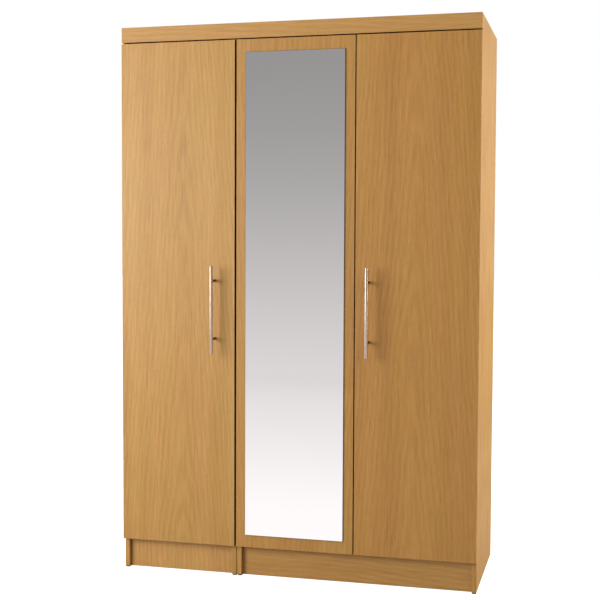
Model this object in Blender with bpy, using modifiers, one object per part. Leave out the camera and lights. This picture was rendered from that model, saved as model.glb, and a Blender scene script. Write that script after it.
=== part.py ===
"""Three-door wardrobe: a one-door and a two-door carcass side by side under one frieze.

Metres, +Z up. The fronts face -Y, and the origin is on the floor, in the middle of the whole
object's box. The left unit is fitted with shelves. The right unit has a hat shelf over a hanging
rail, and its left door carries a mirror on its front.
"""
import math

import bmesh
import bpy
from mathutils import Matrix, Vector

# Overall sizes
WIDTH = 1.200
HEIGHT = 1.830
DEPTH = 0.500                   # door fronts to the carcasses' rear edges
LEFT_UNIT_WIDTH = 0.400
UNIT_GAP = 0.002                # between the two carcasses

# Boards
BOARD = 0.016
DOOR_THICKNESS = 0.016
BACK_THICKNESS = 0.003
BOARD_EDGE_RADIUS = 0.001
BASE_UNDERSIDE = 0.102          # floor to the underside of the base boards
PLINTH_RECESS = 0.016           # behind the front edges of the sides
PLINTH_FLOOR_GAP = 0.002
FRIEZE_HEIGHT = 0.050
HAT_SPACE = 0.300               # above the hat shelf
SHELF_SETBACK = 0.020           # behind the front edges of the sides
LOWER_SHELVES = 3               # in the left unit, under its top shelf

# Blind holes for shelf pins, in groups about each lower shelf
PIN_DIAMETER = 0.005
PIN_HOLE_DEPTH = 0.009
PIN_HOLE_PITCH = 0.032
PIN_HOLES_PER_GROUP = 3
PIN_FRONT_DISTANCE = 0.037      # front edge of the side to the front row
PIN_REAR_DISTANCE = 0.050       # hardboard back to the rear row

# Backs, held in grooves
BACK_INSET = 0.012              # rear edges of the sides to the back of the hardboard
GROOVE_DEPTH = 0.006
STRIP_WIDTH = 0.012             # the H-shaped strip that joins the two halves
STRIP_FLANGE = 0.0008
STRIP_WEB = 0.0012

# Clearances
SEAT_GAP = 0.0003               # between pieces that touch on the real object
DOOR_CARCASS_GAP = 0.002
CENTRE_DOOR_GAP = 0.006         # left door to mirror door, over the gap between the carcasses
PAIR_DOOR_GAP = 0.0035          # mirror door to right door
FRIEZE_DOOR_GAP = 0.004
DOOR_BASE_REVEAL = 0.001        # the doors' lower edges above the base boards' undersides

# Glides under the sides
GLIDE_HEIGHT = 0.004
GLIDE_WIDTH = 0.013
GLIDE_LENGTH = 0.030
GLIDE_INSET = 0.002             # from the front or rear edge of the side
GLIDE_EDGE_RADIUS = 0.0008

# Concealed hinges, in plan from the axis: X towards the middle of the door, Y into the wardrobe
HINGES_PER_DOOR = 3
HINGE_END_DISTANCE = 0.100      # door's top and bottom edges to the nearest hinges
AXIS_FROM_EDGE = 0.005
AXIS_FROM_BACK = 0.010          # the axis lies this far in front of the door's back face
CUP_EDGE_DISTANCE = 0.004       # door edge to the cup bore
CUP_BORE_DIAMETER = 0.035
CUP_BORE_DEPTH = 0.012
CUP_WALL = 0.0012
CUP_FLANGE_THICKNESS = 0.001
CUP_FLANGE_OVERHANG = 0.001
CUP_WING_WIDTH = 0.012
CUP_WING_END = 0.029
CUP_WING_OFFSET = 0.0085        # middle of the wings from the middle of the cup
LINK_WIDTH = 0.008
LINK_HEIGHT = 0.012
ARM_WALL_GAP = 0.001            # inner face of an outer side to the arm
ARM_WIDTH = 0.010
ARM_NOSE = 0.005
ARM_NOSE_CHAMFER = 0.001
ARM_HEIGHT = 0.013
ARM_CRANK_START = 0.024
ARM_CRANK_END = 0.034
ARM_CRANK = 0.003
ARM_END = 0.076
PLATE_START = 0.030
PLATE_END = 0.080
PLATE_LINE = 0.037              # front edge of the side to the plate's screws
WING_LENGTH = 0.016
WING_HEIGHT = 0.044
WING_THICKNESS = 0.0025

# Mirror
MIRROR_THICKNESS = 0.004
MIRROR_SIDE_MARGIN = 0.032
MIRROR_END_MARGIN = 0.042
MIRROR_EDGE_RADIUS = 0.0008

# Bar handles
HANDLE_LENGTH = 0.288
HANDLE_SPACING = 0.192
HANDLE_PROJECTION = 0.050       # door front to the front of the bar
HANDLE_HEIGHT = 0.893           # floor to the middle of the bar
BAR_DIAMETER = 0.012
BAR_EDGE_RADIUS = 0.0008
POST_DIAMETER = 0.0085
LEFT_HANDLE_EDGE = 0.067        # free edge of the door to the bar's axis
RIGHT_HANDLE_EDGE = 0.045

# Hanging rail, an oval tube in two sockets
RAIL_DROP = 0.060               # underside of the hat shelf to the rail's axis
RAIL_HEIGHT = 0.030
RAIL_DEPTH = 0.015
RAIL_WALL = 0.0012
SOCKET_WALL = 0.003
SOCKET_FLOOR = 0.003
SOCKET_CUP_DEPTH = 0.010

ROUND_SEGMENTS = 24
PIN_SEGMENTS = 12
OVAL_ARC_SEGMENTS = 10
WELD_DISTANCE = 0.00001
SHARP_ANGLE = math.radians(35)
CUT_PAST = 0.001                # how far a cutter runs past what it cuts

# Places that several pieces share
LEFT_X = -WIDTH / 2
RIGHT_X = WIDTH / 2
BACK_Y = (DEPTH + HANDLE_PROJECTION) / 2
FRONT_Y = BACK_Y - DEPTH
DOOR_BACK_Y = FRONT_Y + DOOR_THICKNESS
CARCASS_FRONT_Y = DOOR_BACK_Y + DOOR_CARCASS_GAP
BACKBOARD_REAR_Y = BACK_Y - BACK_INSET
BACKBOARD_FRONT_Y = BACKBOARD_REAR_Y - BACK_THICKNESS
FRIEZE_BOTTOM = HEIGHT - FRIEZE_HEIGHT
DOOR_TOP = FRIEZE_BOTTOM - FRIEZE_DOOR_GAP
DOOR_BOTTOM = BASE_UNDERSIDE + DOOR_BASE_REVEAL
BASE_TOP = BASE_UNDERSIDE + BOARD
TOP_UNDERSIDE = HEIGHT - BOARD
HAT_SHELF_TOP = TOP_UNDERSIDE - HAT_SPACE
HAT_SHELF_UNDERSIDE = HAT_SHELF_TOP - BOARD
SHELF_FRONT_Y = CARCASS_FRONT_Y + SHELF_SETBACK
SHELF_REAR_Y = BACKBOARD_FRONT_Y - 2 * SEAT_GAP - STRIP_FLANGE
RAIL_Y = (CARCASS_FRONT_Y + BACKBOARD_FRONT_Y) / 2
RAIL_Z = HAT_SHELF_UNDERSIDE - RAIL_DROP
LEFT_UNIT_END_X = LEFT_X + LEFT_UNIT_WIDTH
RIGHT_UNIT_START_X = LEFT_UNIT_END_X + UNIT_GAP
JUNCTION_X = LEFT_UNIT_END_X + UNIT_GAP / 2
LEFT_DOOR_END_X = JUNCTION_X - CENTRE_DOOR_GAP / 2
MIRROR_DOOR_START_X = JUNCTION_X + CENTRE_DOOR_GAP / 2
PAIR_DOOR_WIDTH = (RIGHT_X - MIRROR_DOOR_START_X - PAIR_DOOR_GAP) / 2
AXIS_Y = DOOR_BACK_Y - AXIS_FROM_BACK
CUP_CENTRE_X = CUP_EDGE_DISTANCE + CUP_BORE_DIAMETER / 2 - AXIS_FROM_EDGE
OUTER_WALL_X = BOARD - AXIS_FROM_EDGE
ARM_NEAR_SIDE = OUTER_WALL_X + ARM_WALL_GAP


def clear_scene():
    """Remove every object and its data."""
    for obj in list(bpy.data.objects):
        bpy.data.objects.remove(obj, do_unlink=True)
    for mesh in list(bpy.data.meshes):
        bpy.data.meshes.remove(mesh)


def new_collection(name):
    """Add a collection to the scene."""
    collection = bpy.data.collections.new(name)
    bpy.context.scene.collection.children.link(collection)
    return collection


def new_material(name, colour, roughness, metallic=0.0):
    """Make a Principled BSDF material."""
    material = bpy.data.materials.new(name)
    material.use_nodes = True
    shader = material.node_tree.nodes["Principled BSDF"]
    shader.inputs["Base Color"].default_value = (*colour, 1.0)
    shader.inputs["Roughness"].default_value = roughness
    shader.inputs["Metallic"].default_value = metallic
    material.diffuse_color = (*colour, 1.0)
    return material


def place(name, mesh, location, material, parent=None, flipped=False):
    """Add a piece at a world location, riding on its parent empty if it has one."""
    obj = bpy.data.objects.new(name, mesh)
    PARTS.objects.link(obj)
    if not mesh.materials:
        mesh.materials.append(material)
    obj.location = Vector(location)
    if parent:
        obj.parent = parent
        obj.location -= parent.location
    if flipped:
        obj.rotation_euler.y = math.pi
    return obj


def scratch_object(mesh):
    """Wrap a mesh in an object that only lives while modifiers are evaluated."""
    obj = bpy.data.objects.new(mesh.name, mesh)
    CUTTERS.objects.link(obj)
    return obj


def evaluated_mesh(obj, name):
    """Return the object's mesh with its modifiers applied, welded, and remove the object."""
    graph = bpy.context.evaluated_depsgraph_get()
    mesh = bpy.data.meshes.new_from_object(obj.evaluated_get(graph))
    mesh.name = name
    bpy.data.objects.remove(obj, do_unlink=True)
    shape = bmesh.new()
    shape.from_mesh(mesh)
    bmesh.ops.remove_doubles(shape, verts=shape.verts, dist=WELD_DISTANCE)
    bmesh.ops.dissolve_degenerate(shape, edges=shape.edges, dist=WELD_DISTANCE)
    shape.to_mesh(mesh)
    shape.free()
    mesh.materials.clear()
    return mesh


def smooth_rounds(mesh):
    """Shade round faces smooth and keep the real edges sharp."""
    mesh.shade_smooth()
    mesh.set_sharp_from_angle(angle=SHARP_ANGLE)


def box_mesh(name, low, high):
    """Make a box between two corners."""
    shape = bmesh.new()
    bmesh.ops.create_cube(shape, size=1.0)
    size = Vector(high) - Vector(low)
    middle = (Vector(high) + Vector(low)) / 2
    bmesh.ops.scale(shape, vec=size, verts=shape.verts)
    bmesh.ops.translate(shape, vec=middle, verts=shape.verts)
    mesh = bpy.data.meshes.new(name)
    shape.to_mesh(mesh)
    shape.free()
    return mesh


def cylinder_mesh(name, diameter, low, high, axis="Z"):
    """Make a cylinder about the origin along one axis, from low to high."""
    shape = bmesh.new()
    bmesh.ops.create_cone(shape, cap_ends=True, segments=ROUND_SEGMENTS, radius1=diameter / 2,
                          radius2=diameter / 2, depth=high - low)
    bmesh.ops.translate(shape, vec=(0, 0, (low + high) / 2), verts=shape.verts)
    if axis == "Y":
        turn = Vector((0, 0, 1)).rotation_difference(Vector((0, 1, 0))).to_matrix()
        bmesh.ops.rotate(shape, cent=(0, 0, 0), matrix=turn, verts=shape.verts)
    mesh = bpy.data.meshes.new(name)
    shape.to_mesh(mesh)
    shape.free()
    return mesh


def outline_mesh(name, loops, thickness):
    """Fill flat outlines in XY and extrude them evenly along Z."""
    curve = bpy.data.curves.new(name, "CURVE")
    curve.dimensions = "2D"
    curve.fill_mode = "BOTH"
    curve.extrude = thickness / 2
    for loop in loops:
        spline = curve.splines.new("POLY")
        spline.points.add(len(loop) - 1)
        for point, (x, y) in zip(spline.points, loop):
            point.co = (x, y, 0, 1)
        spline.use_cyclic_u = True
    return evaluated_mesh(scratch_object(curve), name)


def oval_loop(length, width):
    """Points of a flat-sided oval, long in X, with half-round ends."""
    radius = width / 2
    straight = length / 2 - radius
    points = []
    for end, start in ((1, -math.pi / 2), (-1, math.pi / 2)):
        for step in range(OVAL_ARC_SEGMENTS + 1):
            angle = start + math.pi * step / OVAL_ARC_SEGMENTS
            points.append((end * straight + radius * math.cos(angle), radius * math.sin(angle)))
    return points


def add_bevel(obj, width, segments=2):
    """Round an object's edges."""
    bevel = obj.modifiers.new("rounded_edges", "BEVEL")
    bevel.width = width
    bevel.segments = segments
    bevel.limit_method = "ANGLE"
    return bevel


def add_boolean(obj, other, operation):
    """Cut or join another object's shape."""
    boolean = obj.modifiers.new(other.name, "BOOLEAN")
    boolean.operation = operation
    boolean.solver = "EXACT"
    boolean.object = other


def combined_mesh(name, base, others, operation):
    """Join other meshes to a base mesh, or cut them from it."""
    obj = scratch_object(base)
    tools = [scratch_object(mesh) for mesh in others]
    for tool in tools:
        add_boolean(obj, tool, operation)
    mesh = evaluated_mesh(obj, name)
    for tool in tools:
        bpy.data.objects.remove(tool, do_unlink=True)
    return mesh


def cutter(name, mesh, location):
    """Keep a cutting shape in the cutters' collection, out of renders."""
    obj = bpy.data.objects.new(name, mesh)
    CUTTERS.objects.link(obj)
    obj.location = Vector(location)
    obj.hide_render = True
    obj.display_type = "WIRE"
    return obj


def board(name, low, high, material, parent=None, radius=BOARD_EDGE_RADIUS):
    """Add a board with rounded edges between two world corners."""
    middle = (Vector(low) + Vector(high)) / 2
    half = (Vector(high) - Vector(low)) / 2
    obj = place(name, box_mesh(name, -half, half), middle, material, parent)
    if radius:
        add_bevel(obj, radius)
    return obj


def cut_groove(obj, low, high):
    """Cut a box-shaped groove in a board."""
    middle = (Vector(low) + Vector(high)) / 2
    half = (Vector(high) - Vector(low)) / 2
    name = obj.name + "_groove_cutter"
    add_boolean(obj, cutter(name, box_mesh(name, -half, half), middle), "DIFFERENCE")


def make_side(name, outer_x, facing):
    """Add a side board whose grooved inner face looks along facing (+1 or -1 in X)."""
    inner_x = outer_x + facing * BOARD
    low_x, high_x = sorted((outer_x, inner_x))
    side = board(name, (low_x, CARCASS_FRONT_Y, GLIDE_HEIGHT), (high_x, BACK_Y, HEIGHT), CARCASS_BOARD)
    groove = sorted((inner_x - facing * GROOVE_DEPTH, inner_x + facing * CUT_PAST))
    cut_groove(side, (groove[0], BACKBOARD_FRONT_Y - SEAT_GAP, GLIDE_HEIGHT - CUT_PAST),
               (groove[1], BACKBOARD_REAR_Y + SEAT_GAP, HEIGHT + CUT_PAST))
    for end, y in (("front", CARCASS_FRONT_Y + GLIDE_INSET),
                   ("rear", BACK_Y - GLIDE_INSET - GLIDE_LENGTH)):
        middle_x = (outer_x + inner_x) / 2
        board(f"{name}_{end}_glide", (middle_x - GLIDE_WIDTH / 2, y, 0),
              (middle_x + GLIDE_WIDTH / 2, y + GLIDE_LENGTH, GLIDE_HEIGHT - SEAT_GAP),
              GLIDE_PLASTIC, radius=GLIDE_EDGE_RADIUS)
    return side


def make_carcass(unit, left_x, right_x):
    """Add one carcass: its sides, top, base and plinth. Return the sides and their inner faces' places."""
    sides = (make_side(f"{unit}_left_side", left_x, 1), make_side(f"{unit}_right_side", right_x, -1))
    inner = (left_x + BOARD, right_x - BOARD)
    low_x = inner[0] + SEAT_GAP
    high_x = inner[1] - SEAT_GAP
    top = board(f"{unit}_top", (low_x, CARCASS_FRONT_Y, TOP_UNDERSIDE), (high_x, BACK_Y, HEIGHT),
                CARCASS_BOARD)
    cut_groove(top, (low_x - CUT_PAST, BACKBOARD_FRONT_Y - SEAT_GAP, TOP_UNDERSIDE - CUT_PAST),
               (high_x + CUT_PAST, BACKBOARD_REAR_Y + SEAT_GAP, TOP_UNDERSIDE + GROOVE_DEPTH))
    board(f"{unit}_base", (low_x, CARCASS_FRONT_Y, BASE_UNDERSIDE),
          (high_x, BACKBOARD_FRONT_Y - SEAT_GAP, BASE_TOP), CARCASS_BOARD)
    plinth_y = CARCASS_FRONT_Y + PLINTH_RECESS
    board(f"{unit}_plinth", (low_x, plinth_y, PLINTH_FLOOR_GAP),
          (high_x, plinth_y + BOARD, BASE_UNDERSIDE - SEAT_GAP), CARCASS_BOARD)
    return sides, inner


def make_backboard(name, low_x, high_x):
    """Add a hardboard back that stands in the grooves, behind the base."""
    board(name, (low_x, BACKBOARD_FRONT_Y, BASE_UNDERSIDE),
          (high_x, BACKBOARD_REAR_Y, TOP_UNDERSIDE + GROOVE_DEPTH - SEAT_GAP), HARDBOARD, radius=0)


def make_shelf(name, inner, underside):
    """Add a shelf between a carcass's inner faces."""
    board(name, (inner[0] + SEAT_GAP, SHELF_FRONT_Y, underside),
          (inner[1] - SEAT_GAP, SHELF_REAR_Y, underside + BOARD), CARCASS_BOARD)


def lower_shelf_undersides():
    """Heights of the left unit's lower shelves, evenly spaced under its top shelf."""
    pitch = (HAT_SHELF_UNDERSIDE - BASE_UNDERSIDE) / (LOWER_SHELVES + 1)
    return [BASE_UNDERSIDE + number * pitch for number in range(1, LOWER_SHELVES + 1)]


def cut_pin_holes(side, inner_x, facing):
    """Cut the shelf pins' blind holes in a side whose inner face looks along facing."""
    shape = bmesh.new()
    middle_x = inner_x + facing * (CUT_PAST - PIN_HOLE_DEPTH) / 2
    turn = Matrix.Rotation(math.pi / 2, 4, "Y")
    first_step = -(PIN_HOLES_PER_GROUP - 1) / 2
    for y in (CARCASS_FRONT_Y + PIN_FRONT_DISTANCE, BACKBOARD_FRONT_Y - PIN_REAR_DISTANCE):
        for underside in lower_shelf_undersides():
            for number in range(PIN_HOLES_PER_GROUP):
                z = underside - PIN_DIAMETER / 2 + (first_step + number) * PIN_HOLE_PITCH
                bmesh.ops.create_cone(shape, cap_ends=True, segments=PIN_SEGMENTS,
                                      radius1=PIN_DIAMETER / 2, radius2=PIN_DIAMETER / 2,
                                      depth=PIN_HOLE_DEPTH + CUT_PAST,
                                      matrix=Matrix.Translation((middle_x, y, z)) @ turn)
    name = side.name + "_pin_holes_cutter"
    mesh = bpy.data.meshes.new(name)
    shape.to_mesh(mesh)
    shape.free()
    add_boolean(side, cutter(name, mesh, (0, 0, 0)), "DIFFERENCE")


def make_left_fittings(sides, inner):
    """Fit the left unit with a one-piece back and evenly spaced shelves."""
    reach = GROOVE_DEPTH - SEAT_GAP
    make_backboard("left_unit_back", inner[0] - reach, inner[1] + reach)
    make_shelf("left_unit_top_shelf", inner, HAT_SHELF_UNDERSIDE)
    for number, underside in enumerate(lower_shelf_undersides(), start=1):
        make_shelf(f"left_unit_shelf_{number}", inner, underside)
    for side, inner_x, facing in zip(sides, inner, (1, -1)):
        cut_pin_holes(side, inner_x, facing)


def make_joined_back(inner):
    """Add the right unit's back: two halves held by an H-shaped strip."""
    reach = GROOVE_DEPTH - SEAT_GAP
    middle_x = (inner[0] + inner[1]) / 2
    half_web = STRIP_WEB / 2
    make_backboard("right_unit_back_left", inner[0] - reach, middle_x - half_web - SEAT_GAP)
    make_backboard("right_unit_back_right", middle_x + half_web + SEAT_GAP, inner[1] + reach)
    half_slot = BACK_THICKNESS / 2 + SEAT_GAP
    outer = half_slot + STRIP_FLANGE
    half_width = STRIP_WIDTH / 2
    quarter = [(half_width, outer), (half_width, half_slot), (half_web, half_slot)]
    right = quarter + [(x, -y) for x, y in reversed(quarter)]
    loop = right + [(-x, -y) for x, y in right]
    low_z = BASE_TOP + SEAT_GAP
    high_z = TOP_UNDERSIDE - SEAT_GAP
    strip = outline_mesh("right_unit_back_strip", [loop], high_z - low_z)
    middle_y = (BACKBOARD_FRONT_Y + BACKBOARD_REAR_Y) / 2
    place("right_unit_back_strip", strip, (middle_x, middle_y, (low_z + high_z) / 2), STRIP_PLASTIC)


def upright_oval(name, loops, thickness, centre_x):
    """Make an oval prism along X, tall in Z, about the rail's axis."""
    mesh = outline_mesh(name, loops, thickness)
    shape = bmesh.new()
    shape.from_mesh(mesh)
    turn = Vector((0, 0, 1)).rotation_difference(Vector((-1, 0, 0))).to_matrix()
    bmesh.ops.rotate(shape, cent=(0, 0, 0), matrix=turn, verts=shape.verts)
    bmesh.ops.translate(shape, vec=(centre_x, 0, 0), verts=shape.verts)
    shape.to_mesh(mesh)
    shape.free()
    return mesh


def make_hanging_rail(inner):
    """Add the oval rail and its two sockets under the hat shelf."""
    hole = (RAIL_HEIGHT + 2 * SEAT_GAP, RAIL_DEPTH + 2 * SEAT_GAP)
    collar = [size + 2 * SOCKET_WALL for size in hole]
    depth = SOCKET_FLOOR + SOCKET_CUP_DEPTH
    body = upright_oval("socket_body", [oval_loop(*collar)], depth, depth / 2)
    pocket = upright_oval("socket_pocket", [oval_loop(*hole)], SOCKET_CUP_DEPTH + CUT_PAST,
                          SOCKET_FLOOR + (SOCKET_CUP_DEPTH + CUT_PAST) / 2)
    socket = combined_mesh("rail_socket", body, [pocket], "DIFFERENCE")
    smooth_rounds(socket)
    place("right_unit_rail_socket_left", socket, (inner[0] + SEAT_GAP, RAIL_Y, RAIL_Z), ZINC)
    place("right_unit_rail_socket_right", socket, (inner[1] - SEAT_GAP, RAIL_Y, RAIL_Z), ZINC, flipped=True)
    end_gap = 2 * SEAT_GAP + SOCKET_FLOOR
    bore = (RAIL_HEIGHT - 2 * RAIL_WALL, RAIL_DEPTH - 2 * RAIL_WALL)
    rail = upright_oval("hanging_rail", [oval_loop(RAIL_HEIGHT, RAIL_DEPTH), oval_loop(*bore)],
                        inner[1] - inner[0] - 2 * end_gap, 0)
    smooth_rounds(rail)
    place("right_unit_hanging_rail", rail, ((inner[0] + inner[1]) / 2, RAIL_Y, RAIL_Z), CHROME)


def cup_mesh():
    """Make a hinge cup about the hinge axis: a dish in the door, its wings and its link."""
    radius = CUP_BORE_DIAMETER / 2 - SEAT_GAP
    flange_radius = CUP_BORE_DIAMETER / 2 + CUP_FLANGE_OVERHANG
    inner_radius = radius - CUP_WALL
    rim = AXIS_FROM_BACK + SEAT_GAP + CUP_FLANGE_THICKNESS
    seat = AXIS_FROM_BACK + SEAT_GAP
    floor = AXIS_FROM_BACK - CUP_BORE_DEPTH + SEAT_GAP
    profile = [(inner_radius, rim), (flange_radius, rim), (flange_radius, seat), (radius, seat),
               (radius, floor), (0, floor), (0, floor + CUP_WALL), (inner_radius, floor + CUP_WALL)]
    shape = bmesh.new()
    points = [shape.verts.new((x, 0, z)) for x, z in profile]
    for first, second in zip(points, points[1:]):
        shape.edges.new((first, second))
    shape.edges.new((points[-1], points[0]))
    mesh = bpy.data.meshes.new("cup_dish")
    shape.to_mesh(mesh)
    shape.free()
    dish = scratch_object(mesh)
    screw = dish.modifiers.new("turned", "SCREW")
    screw.steps = ROUND_SEGMENTS
    screw.render_steps = ROUND_SEGMENTS
    screw.use_merge_vertices = True
    screw.merge_threshold = WELD_DISTANCE
    dish_mesh = evaluated_mesh(dish, "cup_dish")
    turned = bmesh.new()
    turned.from_mesh(dish_mesh)
    on_axis = [edge for edge in turned.edges
               if all(math.hypot(vert.co.x, vert.co.y) < WELD_DISTANCE for vert in edge.verts)]
    bmesh.ops.delete(turned, geom=on_axis, context="EDGES")
    turn = Vector((0, 0, 1)).rotation_difference(Vector((0, 1, 0))).to_matrix()
    bmesh.ops.rotate(turned, cent=(0, 0, 0), matrix=turn, verts=turned.verts)
    bmesh.ops.translate(turned, vec=(CUP_CENTRE_X, 0, 0), verts=turned.verts)
    bmesh.ops.recalc_face_normals(turned, faces=turned.faces)
    turned.to_mesh(dish_mesh)
    turned.free()
    wing_start = inner_radius + SEAT_GAP
    wing_x = CUP_CENTRE_X + CUP_WING_OFFSET
    additions = []
    for name, ends in (("upper", (wing_start, CUP_WING_END)), ("lower", (-CUP_WING_END, -wing_start))):
        additions.append(box_mesh(f"cup_{name}_wing", (wing_x - CUP_WING_WIDTH / 2, seat, ends[0]),
                                  (wing_x + CUP_WING_WIDTH / 2, rim, ends[1])))
    link_x = ARM_NEAR_SIDE + ARM_WIDTH / 2
    additions.append(box_mesh("cup_link", (link_x - LINK_WIDTH / 2, floor + CUP_WALL / 2, -LINK_HEIGHT / 2),
                              (link_x + LINK_WIDTH / 2, ARM_NOSE - SEAT_GAP, LINK_HEIGHT / 2)))
    cup = combined_mesh("hinge_cup", dish_mesh, additions, "UNION")
    smooth_rounds(cup)
    return cup


def arm_mesh(name, wall_x):
    """Make a hinge arm and its mounting plate; the carcass side's face is at wall_x."""
    seat = wall_x + SEAT_GAP
    far_side = ARM_NEAR_SIDE + ARM_WIDTH
    chamfer = ARM_NOSE_CHAMFER
    loop = [(ARM_NEAR_SIDE, ARM_NOSE + chamfer), (ARM_NEAR_SIDE + chamfer, ARM_NOSE),
            (far_side - chamfer, ARM_NOSE), (far_side, ARM_NOSE + chamfer),
            (far_side, ARM_CRANK_START), (far_side - ARM_CRANK, ARM_CRANK_END),
            (far_side - ARM_CRANK, ARM_END), (seat, PLATE_END), (seat, PLATE_START),
            (ARM_NEAR_SIDE, PLATE_START)]
    body = outline_mesh("arm_body", [loop], ARM_HEIGHT)
    plate_y = AXIS_FROM_BACK + DOOR_CARCASS_GAP + PLATE_LINE
    wing = box_mesh("plate_wing", (seat, plate_y - WING_LENGTH / 2, -WING_HEIGHT / 2),
                    (seat + WING_THICKNESS, plate_y + WING_LENGTH / 2, WING_HEIGHT / 2))
    return combined_mesh(name, body, [wing], "UNION")


def hinge_heights():
    """Heights of a door's hinges, from bottom to top."""
    low = DOOR_BOTTOM + HINGE_END_DISTANCE
    high = DOOR_TOP - HINGE_END_DISTANCE
    return [low + (high - low) * step / (HINGES_PER_DOOR - 1) for step in range(HINGES_PER_DOOR)]


def make_door(name, low_x, high_x, facing, wall_x, cup, arm):
    """Add a door on its axis empty, with its hinges. facing is +1 if the hinges are on the left."""
    hinge_edge = low_x if facing > 0 else high_x
    axis_x = hinge_edge + facing * AXIS_FROM_EDGE
    axis = bpy.data.objects.new(f"{name}_axis", None)
    axis.location = (axis_x, AXIS_Y, 0)
    PARTS.objects.link(axis)
    panel = board(f"{name}_panel", (low_x, FRONT_Y, DOOR_BOTTOM), (high_x, DOOR_BACK_Y, DOOR_TOP),
                  DOOR_BOARD, parent=axis)
    arm = arm or arm_mesh(f"{name}_hinge_arm", abs(wall_x - axis_x))
    bore = cylinder_mesh(f"{name}_bore", CUP_BORE_DIAMETER, -CUP_BORE_DEPTH, CUT_PAST, axis="Y")
    for number, height in enumerate(hinge_heights(), start=1):
        centre_x = axis_x + facing * CUP_CENTRE_X
        hole = cutter(f"{name}_bore_cutter_{number}", bore, (centre_x, DOOR_BACK_Y, height))
        add_boolean(panel, hole, "DIFFERENCE")
        flipped = facing < 0
        place(f"{name}_hinge_cup_{number}", cup, (axis_x, AXIS_Y, height), NICKEL, axis, flipped)
        place(f"{name}_hinge_arm_{number}", arm, (axis_x, AXIS_Y, height), NICKEL, None, flipped)
    return axis


def make_mirror(axis, low_x, high_x):
    """Add the mirror on the front of its door."""
    rear = FRONT_Y - SEAT_GAP
    low = (low_x + MIRROR_SIDE_MARGIN, rear - MIRROR_THICKNESS, DOOR_BOTTOM + MIRROR_END_MARGIN)
    high = (high_x - MIRROR_SIDE_MARGIN, rear, DOOR_TOP - MIRROR_END_MARGIN)
    board("mirror_glass", low, high, MIRROR, parent=axis, radius=MIRROR_EDGE_RADIUS)


def post_mesh():
    """Make a handle post, from the door's front to the bar it is hollowed to fit."""
    bar_y = HANDLE_PROJECTION - BAR_DIAMETER / 2
    post = cylinder_mesh("post_blank", POST_DIAMETER, -bar_y, -SEAT_GAP, axis="Y")
    saddle = cylinder_mesh("post_saddle", BAR_DIAMETER + 2 * SEAT_GAP, -POST_DIAMETER, POST_DIAMETER)
    shape = bmesh.new()
    shape.from_mesh(saddle)
    bmesh.ops.translate(shape, vec=(0, -bar_y, 0), verts=shape.verts)
    shape.to_mesh(saddle)
    shape.free()
    mesh = combined_mesh("handle_post", post, [saddle], "DIFFERENCE")
    smooth_rounds(mesh)
    return mesh


def bar_mesh():
    """Make an upright handle bar with rounded ends."""
    half = HANDLE_LENGTH / 2
    bar = scratch_object(cylinder_mesh("bar_blank", BAR_DIAMETER, -half, half))
    add_bevel(bar, BAR_EDGE_RADIUS)
    mesh = evaluated_mesh(bar, "handle_bar")
    smooth_rounds(mesh)
    return mesh


def make_handle(name, axis, x, bar, post):
    """Add a bar handle to a door."""
    bar_y = FRONT_Y - HANDLE_PROJECTION + BAR_DIAMETER / 2
    place(f"{name}_bar", bar, (x, bar_y, HANDLE_HEIGHT), STEEL, axis)
    for end, side in (("lower", -1), ("upper", 1)):
        post_z = HANDLE_HEIGHT + side * HANDLE_SPACING / 2
        place(f"{name}_{end}_post", post, (x, FRONT_Y, post_z), STEEL, axis)


clear_scene()
PARTS = new_collection("wardrobe_with_doors")
CUTTERS = new_collection("cutters")
CARCASS_BOARD = new_material("carcass_board", (0.62, 0.42, 0.25), 0.45)
DOOR_BOARD = new_material("door_board", (0.60, 0.38, 0.17), 0.45)
HARDBOARD = new_material("hardboard", (0.55, 0.40, 0.26), 0.7)
GLIDE_PLASTIC = new_material("glide_plastic", (0.05, 0.04, 0.035), 0.5)
STRIP_PLASTIC = new_material("strip_plastic", (0.45, 0.33, 0.22), 0.5)
NICKEL = new_material("nickel_plate", (0.62, 0.60, 0.57), 0.3, 1.0)
ZINC = new_material("zinc_casting", (0.60, 0.60, 0.61), 0.4, 1.0)
CHROME = new_material("chrome_plate", (0.70, 0.70, 0.72), 0.15, 1.0)
STEEL = new_material("brushed_steel", (0.60, 0.59, 0.57), 0.35, 1.0)
MIRROR = new_material("mirror_silver", (0.90, 0.91, 0.90), 0.02, 1.0)

left_sides, left_inner = make_carcass("left_unit", LEFT_X, LEFT_UNIT_END_X)
right_inner = make_carcass("right_unit", RIGHT_UNIT_START_X, RIGHT_X)[1]
make_left_fittings(left_sides, left_inner)
make_joined_back(right_inner)
make_shelf("right_unit_hat_shelf", right_inner, HAT_SHELF_UNDERSIDE)
make_hanging_rail(right_inner)
board("frieze", (LEFT_X, CARCASS_FRONT_Y - SEAT_GAP - BOARD, FRIEZE_BOTTOM),
      (RIGHT_X, CARCASS_FRONT_Y - SEAT_GAP, HEIGHT), DOOR_BOARD)

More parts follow.
